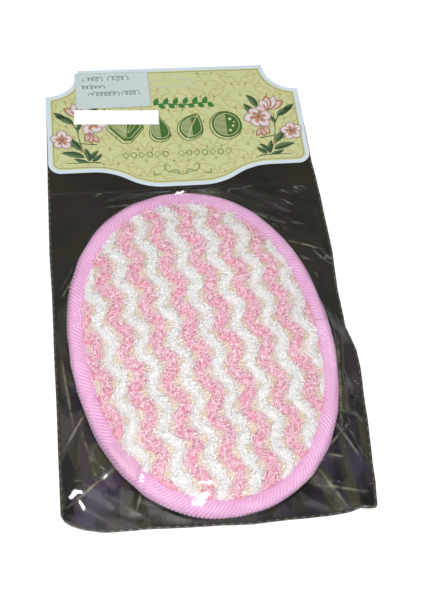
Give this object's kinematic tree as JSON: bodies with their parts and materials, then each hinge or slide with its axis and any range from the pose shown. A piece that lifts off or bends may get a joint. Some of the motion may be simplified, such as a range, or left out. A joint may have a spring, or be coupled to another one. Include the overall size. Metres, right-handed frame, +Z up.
{
  "type": "back scrubber pad in retail pack",
  "caption": "Oval loofah back scrubber pad with wavy yarn rows, bound edge and hand strap, in a clear bag with a folded header card.",
  "frame": {"origin": "centre of the pack's box, on the surface it lies on", "axes": "+X to the right, +Y from the bag's bottom to the header card, +Z up, out of the scrubbing face"},
  "size_m": [0.165, 0.3068, 0.0228],
  "materials": {
    "white_yarn": "looped boucle yarn",
    "pink_yarn": "looped boucle yarn",
    "foam": "open-cell foam",
    "ground_cloth": "cross-ribbed knit with glitter thread",
    "terry": "terry cloth",
    "binding": "twill tape",
    "thread": "sewing thread",
    "elastic": "ribbed elastic",
    "clear_film": "clear glossy film",
    "dark_film": "dark glossy film",
    "printed_card": "printed card",
    "plain_card": "uncoated card",
    "adhesive": "pressure-sensitive adhesive",
    "label_paper": "paper sticker",
    "strip_paper": "paper sticker"
  },
  "bodies": {
    "pack": {"bag_rear_film": "dark_film", "bag_front_film": "clear_film", "bag_seal_left": "dark_film", "bag_seal_right": "dark_film", "bag_seal_bottom": "dark_film"},
    "scrubber": {"foam_core": "foam", "face_ground_cloth": "ground_cloth", "back_cloth": "terry", "binding_tape": "binding", "binding_end_lap": "binding", "binding_upper_thread": "thread", "binding_lower_thread": "thread", "strap_end_left": "elastic", "strap_end_right": "elastic", "strap_bar_tacks_left": "thread", "strap_bar_tacks_right": "thread", "white_row_1": "white_yarn", "white_row_2": "white_yarn", "white_row_3": "white_yarn", "white_row_4": "white_yarn", "white_row_5": "white_yarn", "white_row_6": "white_yarn", "white_row_7": "white_yarn", "pink_row_1": "pink_yarn", "pink_row_2": "pink_yarn", "pink_row_3": "pink_yarn", "pink_row_4": "pink_yarn", "pink_row_5": "pink_yarn", "pink_row_6": "pink_yarn", "pink_row_7": "pink_yarn", "pink_row_8": "pink_yarn"},
    "strap": {"strap_band": "elastic"},
    "header": {"header_card": "printed_card", "adhesive_front": "adhesive", "adhesive_rear": "adhesive", "price_label": "label_paper", "strip_label": "strip_paper"},
    "hang_plug": {"hang_plug_front": "printed_card", "hang_plug_rear": "plain_card"}
  },
  "joints": [
    {"name": "scrubber_draw", "type": "slide", "parent": "pack", "child": "scrubber", "axis": [0, 1, 0], "range_m": [0, 0.29], "deforming": ["bag_front_film", "bag_rear_film"]},
    {"name": "strap_lift", "type": "slide", "parent": "scrubber", "child": "strap", "axis": [0, 0, -1], "range_m": [0, 0.029]},
    {"name": "header_pull", "type": "slide", "parent": "scrubber", "child": "header", "axis": [0, 1, 0], "range_m": [0, 0.09]},
    {"name": "plug_swing", "type": "hinge", "parent": "header", "child": "hang_plug", "pos_m": [0, 0.14725, 0.0013], "axis": [-1, 0, 0], "range_deg": [0, 100]}
  ],
  "couplings": [
    {"joint": "strap_lift", "follows": "scrubber_draw", "ratio": 0.1}
  ]
}
